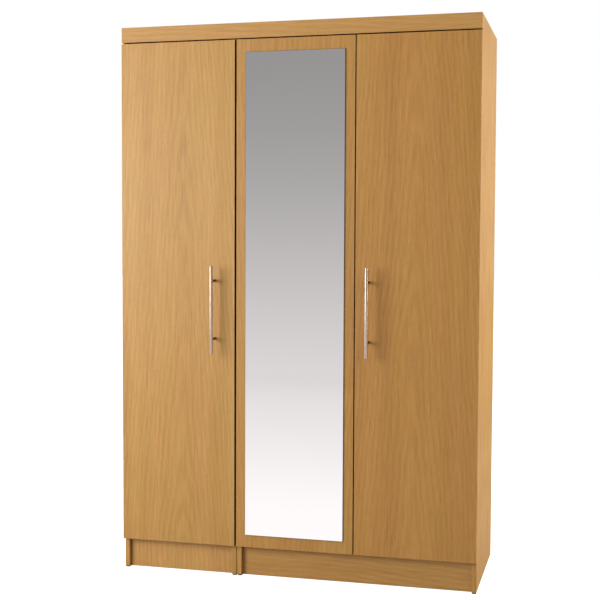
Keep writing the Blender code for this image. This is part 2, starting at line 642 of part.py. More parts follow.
hinge_cup = cup_mesh()
outer_arm = arm_mesh("outer_hinge_arm", OUTER_WALL_X)
mirror_end_x = MIRROR_DOOR_START_X + PAIR_DOOR_WIDTH
right_start_x = RIGHT_X - PAIR_DOOR_WIDTH
left_axis = make_door("left_door", LEFT_X, LEFT_DOOR_END_X, 1, left_inner[0], hinge_cup, outer_arm)
mirror_axis = make_door("mirror_door", MIRROR_DOOR_START_X, mirror_end_x, 1, right_inner[0], hinge_cup, None)
right_axis = make_door("right_door", right_start_x, RIGHT_X, -1, right_inner[1], hinge_cup, outer_arm)
make_mirror(mirror_axis, MIRROR_DOOR_START_X, mirror_end_x)
handle_bar = bar_mesh()
handle_post = post_mesh()
make_handle("left_handle", left_axis, LEFT_DOOR_END_X - LEFT_HANDLE_EDGE, handle_bar, handle_post)
make_handle("right_handle", right_axis, right_start_x + RIGHT_HANDLE_EDGE, handle_bar, handle_post)
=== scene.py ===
"""Looks of the three-door wardrobe: its surfaces, small fittings, studio light and camera.

Metres, +Z up. The fronts face -Y, and the origin is on the floor in the middle of the wardrobe.
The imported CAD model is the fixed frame, and every fitting's place comes from its nodes.
"""

import math

import bmesh
import bpy
from mathutils import Matrix, Vector


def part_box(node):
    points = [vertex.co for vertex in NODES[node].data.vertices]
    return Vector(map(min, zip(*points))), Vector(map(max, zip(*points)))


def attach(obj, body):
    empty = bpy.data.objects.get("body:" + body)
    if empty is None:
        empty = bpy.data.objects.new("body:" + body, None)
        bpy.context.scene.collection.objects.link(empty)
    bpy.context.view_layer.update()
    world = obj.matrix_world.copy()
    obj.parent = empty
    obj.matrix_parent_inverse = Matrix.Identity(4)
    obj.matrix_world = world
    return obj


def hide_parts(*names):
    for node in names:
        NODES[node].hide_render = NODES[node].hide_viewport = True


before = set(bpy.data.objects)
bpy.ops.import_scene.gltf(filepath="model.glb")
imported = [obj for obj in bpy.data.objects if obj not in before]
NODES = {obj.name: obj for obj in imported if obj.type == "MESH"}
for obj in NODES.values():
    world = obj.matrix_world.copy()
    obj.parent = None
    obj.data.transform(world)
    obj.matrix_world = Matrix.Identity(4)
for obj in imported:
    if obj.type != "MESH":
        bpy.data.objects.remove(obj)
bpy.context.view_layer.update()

# Camera: right of the middle, a little above half height, looking slightly down
CAMERA_PLACE = (0.9741, -3.8917, 1.1224)
CAMERA_TURN = math.radians(14.569)
CAMERA_DOWN = math.radians(2.919)
CAMERA_ROLL = math.radians(0.233)
CAMERA_LENS = 70.03
CAMERA_SENSOR = 36.0

# Beech-effect foil, as linear colours
FOIL_DARK = (0.385, 0.178, 0.040)
FOIL_MIDDLE = (0.505, 0.257, 0.070)
FOIL_LIGHT = (0.610, 0.340, 0.108)
FOIL_YELLOW = (0.500, 0.275, 0.066)
PORE_COLOUR = (0.20, 0.09, 0.03)
# Painted shade in the gaps beside the doors and under the frieze
GAP_SHADE_COLOUR = (0.012, 0.004, 0.002)

# The foil's printed figure: repeats per metre, twice across the grain and once along it
BROAD_REPEATS = (17.0, 17.0, 0.55)
STREAK_REPEATS = (235.0, 235.0, 5.5)
FINE_REPEATS = (560.0, 560.0, 14.0)
CLOUD_REPEATS = (3.0, 3.0, 1.2)
HUE_REPEATS = (15.0, 15.0, 1.5)
PORE_REPEATS = (900.0, 900.0, 55.0)
WANDER_REPEATS = (5.0, 5.0, 1.4)
WAVER_REPEATS = (9.0, 9.0, 3.0)

# How strongly each part of the figure shows
BROAD_WEIGHT = 0.62
STREAK_WEIGHT = 0.60
FINE_WEIGHT = 1.10
CLOUD_WEIGHT = 0.20
RING_WEIGHT = 0.08
PORE_WEIGHT = 0.35
YELLOW_WEIGHT = 0.75
WANDER = 0.035                  # metres that the grain wanders sideways
WAVER = 2.2                     # rings that the arches waver by
RINGS_PER_METRE = 62.0
ARCH_ROUNDING = 0.0006          # square metres, rounds the tops of the arches
SEED_STEP = 0.731               # metres between two boards' places in the print
FOIL_ROUGHNESS = 0.44
FOIL_UNEVENNESS = 0.10          # of the roughness, along the streaks
FOIL_SPECULAR = 0.3
FOIL_RELIEF = 0.00006
FIBRE_RELIEF = 0.0003

# Repeats per metre of the other patterns, along X, Y and Z
SEAM_BREAKS = (40.0, 40.0, 40.0)
# Patches in the paler edge band, which is partly wear and partly painted highlight
RUB_AND_HIGHLIGHT_PATCHES = (25.0, 25.0, 9.0)
CHIPS = (420.0, 420.0, 260.0)
CHIP_SPECKLE = (1500.0, 1500.0, 1500.0)
FIBRES = (420.0, 420.0, 300.0)
FIBRE_BLOTCHES = (6.0, 6.0, 6.0)
METAL_SMUDGES = (90.0, 90.0, 60.0)
PLASTIC_GRAIN = (2200.0, 2200.0, 2200.0)
PLASTIC_CLOUDS = (70.0, 70.0, 70.0)
MIRROR_HAZE = (14.0, 14.0, 14.0)
FLOOR_MOTTLE = (3.0, 3.0, 3.0)

# Raw chipboard, raw hardboard and the mirror, as linear colours
CHIP_DARK = (0.22, 0.13, 0.07)
CHIP_LIGHT = (0.62, 0.46, 0.29)
FIBRE_DARK = (0.19, 0.105, 0.052)
FIBRE_LIGHT = (0.32, 0.19, 0.10)
SILVER = (0.915, 0.873, 0.878, 1.0)
GLASS_EDGE = (0.03, 0.05, 0.045, 1.0)

UPRIGHT = "Z"
LEVEL = "X"
AXES = "XYZ"

# Boards whose grain runs level. The grain is upright on all other boards.
LEVEL_BOARDS = ("frieze", "right_unit_plinth", "_top", "_base", "_shelf")

# Heart line of a board's arched figure: share of its width, and the arches' steepness
HEARTS = {
    "left_door_panel": (0.55, 5.0),
    "mirror_door_panel": (0.30, -4.0),
    "right_door_panel": (0.48, 4.5),
    "right_unit_right_side": (0.40, 3.5),
    "left_unit_left_side": (0.65, -4.0),
}
PLAIN_HEART = (-1.5, 3.0)

# Boards tinted as painted light and shade: darker on the right and mirror doors, paler on the left plinth
PAINTED_LIGHT_TINTS = {
    "right_door_panel": (0.95, 0.885, 0.76),
    "mirror_door_panel": (0.95, 0.91, 0.82),
    "left_unit_plinth": (1.16, 1.18, 1.36),
}
PLAIN_TINT = (1.0, 1.0, 1.0)

# Bands along edges, in metres from the edge: a width, or where a fade begins and ends
BANDING_WIDTH = 0.0014
SEAM_FADE = (0.0001, 0.0004)    # from the middle of the banding's seam
# A paler band along the edges: partly rubbed wear, partly painted highlight
RUB_AND_HIGHLIGHT_FADE = (0.0004, 0.0024)
RUB_AND_HIGHLIGHT_WEIGHT = 0.60
SILVER_FADE = (0.0006, 0.0012)

# Painted shade in the gaps round the doors: how far it reaches, how dark it gets, and the openness at its
# ends
GAP_REACH = 0.030
GAP_DARKNESS = {"left_door_panel": 0.98, "mirror_door_panel": 0.70}
USUAL_DARKNESS = 0.85
GAP_CLOSED = 0.30
GAP_OPEN = 0.92

# Softboxes: place, the point each looks at, size, and power in watts
SOFTBOXES = {
    "key_softbox": ((-1.95, -2.5, 1.45), (-0.1, -0.2, 1.1), (1.6, 1.7), 71.5),
    "side_softbox": ((3.0, 0.4, 1.4), (0.6, 0.05, 1.0), (1.2, 1.8), 77.0),
    "top_softbox": ((1.4, -1.8, 3.0), (0.4, -0.2, 1.7), (1.6, 0.8), 9.0),
    "left_softbox": ((-3.2, 0.9, 1.4), (-0.6, 0.1, 1.0), (1.4, 1.8), 45.0),
    "rear_softbox": ((-0.9, 3.6, 1.7), (0.0, 0.26, 0.9), (1.8, 1.8), 60.0),
}
WORLD_FILL = 0.47               # radiance of the even fill

# The floor, and the paper sweep that stands in front of the wardrobe for its reflections
FLOOR_HALF_WIDTH = 30.0
FLOOR_DARKER = (0.80, 0.80, 0.80)
FLOOR_PALER = (0.86, 0.86, 0.86)
FLOOR_BOUNCE = (0.30, 0.30, 0.30, 1.0)
FLOOR_GLOW = 0.88
MIRRORED_GLOW = 0.95            # share of the glow that gloss sees at the sweep's near edge
DOOR_LINE = -0.22
SWEEP_NEAR = -0.75
SWEEP_WALL = -5.5
SWEEP_TOP = 5.0
SWEEP_LIFT = 0.002
SWEEP_HALF_WIDTH = 9.0
SWEEP_RUN = 9.0                 # metres along the floor and up the wall that the greys span
SWEEP_GREYS = ((1.2, 1.10), (1.7, 1.05), (2.4, 0.98), (3.3, 0.91), (4.6, 0.84), (5.6, 0.77),
               (6.1, 0.66), (6.57, 0.55), (7.04, 0.45), (7.52, 0.38), (8.0, 0.34))

# Fittings, in metres
SEAT_GAP = 0.0003
SCREW_RADIUS = 0.0036
SCREW_HEIGHT = 0.0014
RECESS_LENGTH = 0.0042
RECESS_WIDTH = 0.0010
CUP_FLANGE_RADIUS = 0.0185
CUP_OUTER_RADIUS = 0.0172
CUP_INNER_RADIUS = 0.0160
CUP_FLANGE = 0.0010
CUP_FLOOR = 0.0012
CUP_FOOT_ROUNDING = 0.0015
CUP_INSIDE_ROUNDING = 0.0020
CUP_MOUTH_ROUNDING = 0.0006
FLANGE_ROUNDING = 0.0004
EAR_START = 0.0008              # start of the screw ears past the cup's bore
EAR_OFFSET = 0.0085             # middle of the screw ears past the middle of the cup
EAR_RADIUS = 0.0060
EAR_SCREW_HEIGHT = 0.0226       # from the middle of the hinge
WING_SCREW_HEIGHT = 0.0145
WING_THICKNESS = 0.0025
WING_FROM_REAR = 0.027          # rear end of the plate to its screws
ARM_SCREWS_FROM_REAR = (0.012, 0.022)
PIN_RADIUS = 0.0024
PIN_REACH = 0.0080
PIN_COLLAR_RADIUS = 0.0038
PIN_COLLAR = 0.0014
PIN_IN_HOLE = 0.0080
PIN_FROM_FRONT = 0.017          # front edge of the shelf to the front pins
PIN_FROM_REAR = 0.0486
CAP_RADIUS = 0.0085
CAP_HEIGHT = 0.0012
CAP_INSET = 0.034
BOLT_RADIUS = 0.0070
BUFFER_RADIUS = 0.0042
BUFFER_HEIGHT = 0.0014
BUFFER_INSET = (0.008, 0.030)
ARM_ROUNDING = 0.0004
NAIL_RADIUS = 0.0016
NAIL_HEIGHT = 0.0006
NAIL_SPACING = 0.090
NAIL_FROM_EDGE = 0.008
RAIL_WALL = 0.0012
SOCKET_HOLE_TRIM = 0.006
SOCKET_FLOOR = 0.0030
LINK_FROM_WALL = 0.0062
LINK_THICKNESS = 0.0066
LINK_HEIGHT = 0.0115
LINK_ROUNDING = 0.0012
SCREW_IN_ARM = 0.0030           # below the arm's highest ridge
BOLT_FROM_SHELVES = 0.12
BOLTS_FROM_FRONT = (0.075, 0.375)
ROUND_STEPS = 48
SMALL_STEPS = 20
SMOOTH_ANGLE = math.radians(32)


class Nodes:
    """Adds nodes to a node tree. A value is a number, a tuple or another node's output."""

    def __init__(self, tree):
        self.tree = tree

    def feed(self, socket, value):
        """Link a node's output to a socket, or set the socket."""
        if isinstance(value, bpy.types.NodeSocket):
            self.tree.links.new(value, socket)
        else:
            socket.default_value = value

    def add(self, kind, inputs, output=0, **settings):
        """Add a node, feed its inputs, given by name or number, and return one of its outputs."""
        node = self.tree.nodes.new("ShaderNode" + kind)
        for name, value in settings.items():
            setattr(node, name, value)
        for key, value in inputs.items():
            self.feed(node.inputs[key], value)
        return node.outputs[output]

    def maths(self, operation, *values):
        """Calculate with numbers."""
        return self.add("Math", dict(enumerate(values)), operation=operation)

    def vectors(self, operation, *values):
        """Calculate with vectors."""
        return self.add("VectorMath", dict(enumerate(values)), operation=operation)

    def scaled(self, vector, scale):
        """Multiply a vector by another, part by part."""
        return self.vectors("MULTIPLY", vector, scale)

    def noise(self, vector, detail=2.0, roughness=0.5, distortion=0.0):
        """Noise about zero, from -0.5 to 0.5."""
        inputs = {"Vector": vector, "Scale": 1.0, "Detail": detail, "Roughness": roughness,
                  "Distortion": distortion}
        return self.maths("SUBTRACT", self.add("TexNoise", inputs), 0.5)

    def between(self, value, low, high, to_low=0.0, to_high=1.0):
        """Map a range of values to another, smoothly and without going past its ends."""
        inputs = {"Value": value, "From Min": low, "From Max": high, "To Min": to_low, "To Max": to_high}
        return self.add("MapRange", inputs, interpolation_type="SMOOTHSTEP")

    def mix_colours(self, factor, first, second, blend="MIX"):
        """Blend two colours."""
        inputs = {0: factor, 6: first, 7: second}
        return self.add("Mix", inputs, output=2, data_type="RGBA", blend_type=blend)

    def mix_vectors(self, factor, first, second):
        """Blend two vectors."""
        return self.add("Mix", {0: factor, 4: first, 5: second}, output=1, data_type="VECTOR")

    def ramp(self, value, stops):
        """Turn a value into a colour. stops are pairs of position and linear colour."""
        node = self.tree.nodes.new("ShaderNodeValToRGB")
        elements = node.color_ramp.elements
        while len(elements) < len(stops):
            elements.new(1.0)
        for element, (position, colour) in zip(elements, stops):
            element.position = position
            element.color = (*colour, 1.0)
        self.feed(node.inputs[0], value)
        return node.outputs[0]

    def parts(self, vector):
        """X, Y and Z of a vector."""
        node = self.tree.nodes.new("ShaderNodeSeparateXYZ")
        self.feed(node.inputs[0], vector)
        return node.outputs

    def bump(self, height, distance, strength=1.0):
        """Turn a height from 0 to 1 into a normal."""
        return self.add("Bump", {"Height": height, "Distance": distance, "Strength": strength})


def new_material(name):
    """Make a material and return it with its Principled shader and a node builder."""
    material = bpy.data.materials.new(name)
    material.use_nodes = True
    shader = material.node_tree.nodes["Principled BSDF"]
    return material, shader, Nodes(material.node_tree)


def set_surface(nodes, shader, **values):
    """Set the shader's inputs. An underscore in a name stands for a space."""
    for name, value in values.items():
        nodes.feed(shader.inputs[name.replace("_", " ")], value)


def own_place(nodes):
    """Place on the piece, in metres."""
    return nodes.add("TexCoord", {}, output="Object")


def new_group(name, inputs, outputs):
    """Make a node group. Return it with a builder, its input node and its output node."""
    group = bpy.data.node_groups.new(name, "ShaderNodeTree")
    for way, sockets in (("INPUT", inputs), ("OUTPUT", outputs)):
        for socket, kind in sockets.items():
            group.interface.new_socket(socket, in_out=way, socket_type="NodeSocket" + kind)
    return group, Nodes(group), group.nodes.new("NodeGroupInput"), group.nodes.new("NodeGroupOutput")


def make_foil_group():
    """Printed beech foil. The grain runs along Z of the place it is given.

    Heart is the X place of the arches' middle line, and Steepness is how fast they climb.
    """
    group, nodes, given, made = new_group(
        "beech_foil", {"Place": "Vector", "Heart": "Float", "Steepness": "Float"},
        {"Colour": "Color", "Roughness": "Float", "Height": "Float"})
    place = given.outputs["Place"]
    wander = nodes.noise(nodes.scaled(place, WANDER_REPEATS), detail=1.0)
    shift = nodes.add("CombineXYZ", {"X": nodes.maths("MULTIPLY", wander, WANDER)})
    grain = nodes.vectors("ADD", place, shift)

    broad = nodes.noise(nodes.scaled(grain, BROAD_REPEATS), detail=2.0)
    streaks = nodes.noise(nodes.scaled(grain, STREAK_REPEATS), detail=3.0, roughness=0.6)
    fine = nodes.noise(nodes.scaled(grain, FINE_REPEATS), detail=2.0, roughness=0.6)
    clouds = nodes.noise(nodes.scaled(place, CLOUD_REPEATS), detail=1.0)

    across, _, along = nodes.parts(grain)
    offset = nodes.maths("SUBTRACT", across, given.outputs["Heart"])
    squared = nodes.maths("MULTIPLY", offset, offset)
    round_top = nodes.maths("SQRT", nodes.maths("ADD", squared, ARCH_ROUNDING))
    spacing = nodes.maths("MULTIPLY", round_top, RINGS_PER_METRE)
    climb = nodes.maths("MULTIPLY", along, given.outputs["Steepness"])
    waver = nodes.maths("MULTIPLY", nodes.noise(nodes.scaled(place, WAVER_REPEATS), detail=2.0), WAVER)
    phase = nodes.maths("ADD", nodes.maths("ADD", spacing, climb), waver)
    rings = nodes.maths("SINE", nodes.maths("MULTIPLY", phase, math.tau))

    tone = 0.5
    for pattern, weight in ((broad, BROAD_WEIGHT), (streaks, STREAK_WEIGHT), (fine, FINE_WEIGHT),
                            (clouds, CLOUD_WEIGHT), (rings, RING_WEIGHT)):
        tone = nodes.maths("MULTIPLY_ADD", pattern, weight, tone)
    colour = nodes.ramp(tone, ((0.0, FOIL_DARK), (0.5, FOIL_MIDDLE), (1.0, FOIL_LIGHT)))
    yellow = nodes.ramp(tone, ((0.0, FOIL_DARK), (0.5, FOIL_YELLOW), (1.0, FOIL_LIGHT)))
    hue = nodes.noise(nodes.scaled(grain, HUE_REPEATS), detail=3.0)
    yellower = nodes.between(hue, -0.14, 0.16, 0.0, YELLOW_WEIGHT)
    colour = nodes.mix_colours(yellower, colour, yellow)

    dashes = nodes.noise(nodes.scaled(grain, PORE_REPEATS), detail=1.0)
    pores = nodes.between(dashes, 0.13, 0.24)
    colour = nodes.mix_colours(nodes.maths("MULTIPLY", pores, PORE_WEIGHT), colour, (*PORE_COLOUR, 1.0))

    nodes.feed(made.inputs["Colour"], colour)
    roughness = nodes.maths("MULTIPLY_ADD", streaks, FOIL_UNEVENNESS, FOIL_ROUGHNESS)
    nodes.feed(made.inputs["Roughness"], roughness)
    grooves = nodes.maths("MULTIPLY", pores, 0.5)
    relief = nodes.maths("SUBTRACT", nodes.maths("MULTIPLY_ADD", fine, 0.5, 0.6), grooves)
    nodes.feed(made.inputs["Height"], relief)
    return group


def make_chip_group():
    """Raw chipboard: pale and brown chips in glue."""
    group, nodes, given, made = new_group(
        "chipboard", {"Place": "Vector"}, {"Colour": "Color", "Height": "Float"})
    place = nodes.scaled(given.outputs["Place"], CHIPS)
    chips = nodes.add("TexVoronoi", {"Vector": place, "Scale": 1.0, "Randomness": 1.0}, output="Color")
    shade = nodes.parts(chips)[0]
    speckle = nodes.noise(nodes.scaled(given.outputs["Place"], CHIP_SPECKLE))
    tone = nodes.maths("MULTIPLY_ADD", speckle, 0.6, shade)
    colour = nodes.ramp(tone, ((0.0, CHIP_DARK), (0.55, CHIP_LIGHT), (1.0, CHIP_LIGHT)))
    nodes.feed(made.inputs["Colour"], colour)
    nodes.feed(made.inputs["Height"], tone)
    return group


def make_edge_group():
    """Distance from a point on a box to the nearest of the box's edges."""
    group, nodes, given, made = new_group(
        "edge_distance", {"Place": "Vector", "Low": "Vector", "High": "Vector"}, {"Distance": "Float"})
    from_low = nodes.vectors("SUBTRACT", given.outputs["Place"], given.outputs["Low"])
    from_high = nodes.vectors("SUBTRACT", given.outputs["High"], given.outputs["Place"])
    x, y, z = nodes.parts(nodes.vectors("MINIMUM", from_low, from_high))
    larger = nodes.maths("MAXIMUM", x, y)
    second = nodes.maths("MAXIMUM", nodes.maths("MINIMUM", x, y), nodes.maths("MINIMUM", larger, z))
    nodes.feed(made.inputs["Distance"], second)
    return group


FOIL = make_foil_group()
CHIP = make_chip_group()
EDGE = make_edge_group()


def use_group(nodes, group, inputs):
    """Add a group node and return its outputs."""
    node = nodes.tree.nodes.new("ShaderNodeGroup")
    node.node_tree = group
    for name, value in inputs.items():
        nodes.feed(node.inputs[name], value)
    return node.outputs


def reordered(nodes, parts, along):
    """A place whose grain axis has become Z."""
    x, y, z = parts
    order = {UPRIGHT: (x, y, z), LEVEL: (z, y, x)}[along]
    return nodes.add("CombineXYZ", dict(enumerate(order)))


def facing(nodes, axis, sign=1.0):
    """1 where the piece's own surface faces along an axis, else 0."""
    normal = nodes.parts(nodes.add("TexCoord", {}, output="Normal"))[AXES.index(axis)]
    return nodes.maths("GREATER_THAN", nodes.maths("MULTIPLY", normal, sign), 0.7)


def edge_distance(nodes, place, node):
    """Distance from a place to the nearest edge of a node's box."""
    low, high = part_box(node)
    return use_group(nodes, EDGE, {"Place": place, "Low": tuple(low), "High": tuple(high)})[0]


def seam_wear_and_edge_highlight(nodes, place, node, colour):
    """Draw the edge banding's seam, in broken lines, and make the foil paler along the edges: partly
    rubbed wear, partly a painted highlight.
    """
    distance = edge_distance(nodes, place, node)
    from_seam = nodes.maths("ABSOLUTE", nodes.maths("SUBTRACT", distance, BANDING_WIDTH))
    seam = nodes.maths("SUBTRACT", 1.0, nodes.between(from_seam, *SEAM_FADE))
    broken = nodes.between(nodes.noise(nodes.scaled(place, SEAM_BREAKS)), -0.15, 0.25, 0.15, 0.5)
    colour = nodes.mix_colours(nodes.maths("MULTIPLY", seam, broken), colour, (*PORE_COLOUR, 1.0))
    # A paler band along the edges, partly rubbed wear and partly painted highlight
    rub_and_highlight = nodes.between(distance, *RUB_AND_HIGHLIGHT_FADE, RUB_AND_HIGHLIGHT_WEIGHT, 0.0)
    patchy = nodes.between(nodes.noise(nodes.scaled(place, RUB_AND_HIGHLIGHT_PATCHES), detail=3.0), -0.1, 0.2)
    return nodes.mix_colours(nodes.maths("MULTIPLY", rub_and_highlight, patchy), colour, (*FOIL_LIGHT, 1.0))


def painted_gap_shade(nodes, node, colour):
    """Paint shade onto the doors' upright edges and the frieze's underside, darker the more closed in
    they are.
    """
    if node.endswith("door_panel"):
        gap_face = nodes.maths("MAXIMUM", facing(nodes, "X"), facing(nodes, "X", -1.0))
    elif node == "frieze":
        gap_face = facing(nodes, "Z", -1.0)
    else:
        return colour
    # Painted shade: the colour darkens in the gaps by how closed in they are
    openness = nodes.add("AmbientOcclusion", {"Distance": GAP_REACH}, output="AO", samples=6)
    darkest = GAP_DARKNESS.get(node, USUAL_DARKNESS)
    darkness = nodes.between(openness, GAP_CLOSED, GAP_OPEN, darkest, 0.0)
    return nodes.mix_colours(nodes.maths("MULTIPLY", gap_face, darkness), colour, (*GAP_SHADE_COLOUR, 1.0))


def foil_surface(nodes, node, seed):
    """Foil on one board: its colour, roughness and relief. The seed picks its place in the print."""
    along = LEVEL if any(word in node for word in LEVEL_BOARDS) else UPRIGHT
    across = UPRIGHT if along == LEVEL else LEVEL
    low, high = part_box(node)
    place = own_place(nodes)
    moved = nodes.parts(nodes.vectors("ADD", place, (0.0, seed * SEED_STEP, 0.0)))
    ends = nodes.maths("MAXIMUM", facing(nodes, along), facing(nodes, along, -1.0))
    grain_place = nodes.mix_vectors(ends, reordered(nodes, moved, along), reordered(nodes, moved, across))
    share, steepness = HEARTS.get(node, PLAIN_HEART)
    width_axis = AXES.index(across)
    heart = low[width_axis] + share * (high[width_axis] - low[width_axis])
    foil = use_group(nodes, FOIL, {"Place": grain_place, "Heart": heart, "Steepness": steepness})

    colour = seam_wear_and_edge_highlight(nodes, place, node, foil["Colour"])
    # Painted light and shade: some doors are tinted darker, the left plinth paler
    tint = (*PAINTED_LIGHT_TINTS.get(node, PLAIN_TINT), 1.0)
    colour = nodes.mix_colours(1.0, colour, tint, blend="MULTIPLY")
    return painted_gap_shade(nodes, node, colour), foil["Roughness"], foil["Height"]


def foil_material(node, seed, raw_rear):
    """Foil for one board. A carcass board's rear edge can be raw chipboard."""
    material, shader, nodes = new_material(node + "_foil")
    colour, roughness, height = foil_surface(nodes, node, seed)
    if raw_rear:
        rear = facing(nodes, "Y")
        chip = use_group(nodes, CHIP, {"Place": own_place(nodes)})
        colour = nodes.mix_colours(rear, colour, chip["Colour"])
        roughness = nodes.maths("MULTIPLY_ADD", rear, 0.4, roughness)
        height = nodes.maths("MULTIPLY_ADD", rear, chip["Height"], height)
    set_surface(nodes, shader, Base_Color=colour, Roughness=roughness, Specular_IOR_Level=FOIL_SPECULAR,
                Normal=nodes.bump(height, FOIL_RELIEF))
    return material


def hardboard_material(node, seed):
    """Thin hardboard: foil print in front, raw brown fibre behind."""
    material, shader, nodes = new_material(node + "_hardboard")
    colour, roughness, _ = foil_surface(nodes, node, seed)
    place = own_place(nodes)
    fibres = nodes.noise(nodes.scaled(place, FIBRES), detail=4.0, roughness=0.7, distortion=0.6)
    blotches = nodes.noise(nodes.scaled(place, FIBRE_BLOTCHES), detail=3.0)
    tone = nodes.maths("ADD", nodes.maths("MULTIPLY_ADD", fibres, 1.3, 0.5), blotches)
    raw = nodes.ramp(tone, ((0.0, FIBRE_DARK), (1.0, FIBRE_LIGHT)))
    rear = facing(nodes, "Y")
    rougher = nodes.maths("MULTIPLY_ADD", rear, 0.35, roughness)
    relief = nodes.bump(nodes.maths("MULTIPLY", fibres, rear), FIBRE_RELIEF)
    set_surface(nodes, shader, Base_Color=nodes.mix_colours(rear, colour, raw), Roughness=rougher,
                Specular_IOR_Level=FOIL_SPECULAR, Normal=relief)
    return material


def metal_material(name, colour, roughness, scratch_scale, scratch_depth=0.00001, spread=0.08):
    """Plated or brushed metal. scratch_scale is the scratches' frequency along X, Y and Z."""
    material, shader, nodes = new_material(name)
    place = own_place(nodes)
    scratches = nodes.noise(nodes.scaled(place, scratch_scale), detail=3.0, roughness=0.65)
    smudges = nodes.noise(nodes.scaled(place, METAL_SMUDGES), detail=3.0)
    darker = tuple(0.86 * part for part in colour)
    tint = nodes.ramp(nodes.maths("MULTIPLY_ADD", smudges, 1.4, 0.5), ((0.25, darker), (0.75, colour)))
    uneven = nodes.maths("MULTIPLY_ADD", smudges, spread, roughness)
    set_surface(nodes, shader, Base_Color=tint, Metallic=1.0,
                Roughness=nodes.maths("MULTIPLY_ADD", scratches, spread, uneven),
                Normal=nodes.bump(scratches, scratch_depth))
    return material


def plastic_material(name, colour, roughness=0.5):
    """Moulded plastic with a fine spark-eroded grain."""
    material, shader, nodes = new_material(name)
    place = own_place(nodes)
    grain = nodes.noise(nodes.scaled(place, PLASTIC_GRAIN), detail=2.0)
    cloud = nodes.noise(nodes.scaled(place, PLASTIC_CLOUDS), detail=2.0)
    lighter = tuple(1.35 * part for part in colour)
    tint = nodes.ramp(nodes.maths("MULTIPLY_ADD", cloud, 1.2, 0.5), ((0.2, colour), (0.9, lighter)))
    uneven = nodes.maths("MULTIPLY_ADD", grain, 0.12, roughness)
    set_surface(nodes, shader, Base_Color=tint, Roughness=uneven, Normal=nodes.bump(grain, 0.00004))
    return material


def mirror_material(node):
    """Silvered glass: a clean reflecting front and dark green polished edges."""
    material, shader, nodes = new_material("silvered_glass")
    place = own_place(nodes)
    inside = nodes.between(edge_distance(nodes, place, node), *SILVER_FADE)
    silver = nodes.maths("MULTIPLY", facing(nodes, "Y", -1.0), inside)
    haze = nodes.noise(nodes.scaled(place, MIRROR_HAZE), detail=4.0)
    smooth = nodes.maths("MULTIPLY_ADD", haze, 0.006, 0.006)
    edge = nodes.maths("SUBTRACT", 1.0, silver)
    roughness = nodes.maths("MULTIPLY_ADD", edge, 0.15, smooth)
    colour = nodes.mix_colours(silver, GLASS_EDGE, SILVER)
    set_surface(nodes, shader, Base_Color=colour, Metallic=silver, Roughness=roughness)
    return material


def circle(radius, height, steps):
    """Points round Z."""
    angles = [math.tau * step / steps for step in range(steps)]
    return [(radius * math.cos(angle), radius * math.sin(angle), height) for angle in angles]


def oval(length, width, height, steps=ROUND_STEPS):
    """Points of a flat-sided oval, long in X, with half-round ends."""
    points = []
    for step in range(steps):
        angle = math.tau * (step + 0.5) / steps - math.pi / 2
        end = math.copysign(length / 2 - width / 2, math.cos(angle))
        points.append((end + width / 2 * math.cos(angle), width / 2 * math.sin(angle), height))
    return points


def loft(rings, ring_shaped=False):
    """Skin rings of equally many points. The last ring joins the first, or both ends are closed."""
    shape = bmesh.new()
    loops = [[shape.verts.new(point) for point in ring] for ring in rings]
    pairs = list(zip(loops, loops[1:]))
    if ring_shaped:
        pairs.append((loops[-1], loops[0]))
    else:
        shape.faces.new(loops[0])
        shape.faces.new(loops[-1])
    for first, second in pairs:
        for a, b, c, d in zip(first, first[1:] + first[:1], second[1:] + second[:1], second):
            shape.faces.new((a, b, c, d))
    bmesh.ops.recalc_face_normals(shape, faces=shape.faces)
    return shape


def turned(profile, steps=ROUND_STEPS):
    """Turn a profile of (radius, height) points about Z."""
    return loft([circle(radius, height, steps) for radius, height in profile])


def block(size, radius=0.0):
    """A box about the origin, with rounded edges if it has a radius."""
    shape = bmesh.new()
    bmesh.ops.create_cube(shape, size=1.0)
    bmesh.ops.scale(shape, vec=size, verts=shape.verts)
    if radius:
        edges = shape.edges[:]
        bmesh.ops.bevel(shape, geom=edges, offset=radius, segments=3, affect="EDGES", profile=0.5)
    return shape


def finished_mesh(shape, name):
    """Turn a shape into a mesh and free it."""
    mesh = bpy.data.meshes.new(name)
    shape.to_mesh(mesh)
    shape.free()
    return mesh


def joined(shapes_and_places):
    """Join copies of shapes. Each copy is a pair of a shape and the matrix that places it."""
    together = bmesh.new()
    for shape, place in shapes_and_places:
        mesh = bpy.data.meshes.new("copy")
        shape.to_mesh(mesh)
        mesh.transform(place)
        if place.determinant() < 0:
            mesh.flip_normals()
        together.from_mesh(mesh)
        bpy.data.meshes.remove(mesh)
    return together


def cut(shape, tool):
    """Cut one shape out of another."""
    objects = []
    for part in (shape, tool):
        obj = bpy.data.objects.new("cutting", finished_mesh(part, "cutting"))
        bpy.context.scene.collection.objects.link(obj)
        objects.append(obj)
    boolean = objects[0].modifiers.new("cut", "BOOLEAN")
    boolean.operation = "DIFFERENCE"
    boolean.object = objects[1]
    graph = bpy.context.evaluated_depsgraph_get()
    result = bmesh.new()
    result.from_mesh(objects[0].evaluated_get(graph).data)
    for obj in objects:
        bpy.data.meshes.remove(obj.data)
    return result


def add_piece(name, shape, body, material, replaced=()):
    """Add a finished piece that rides on a body and takes the place of some CAD nodes."""
    mesh = finished_mesh(shape, name)
    mesh.shade_smooth()
    mesh.set_sharp_from_angle(angle=SMOOTH_ANGLE)
    mesh.materials.append(material)
    piece = bpy.data.objects.new(name, mesh)
    bpy.context.scene.collection.objects.link(piece)
    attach(piece, body)
    if replaced:
        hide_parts(*replaced)


def looking(place, direction):
    """A matrix that moves a shape to a place and turns its Z to a direction."""
    turn = Vector((0, 0, 1)).rotation_difference(Vector(direction)).to_matrix().to_4x4()
    return Matrix.Translation(place) @ turn


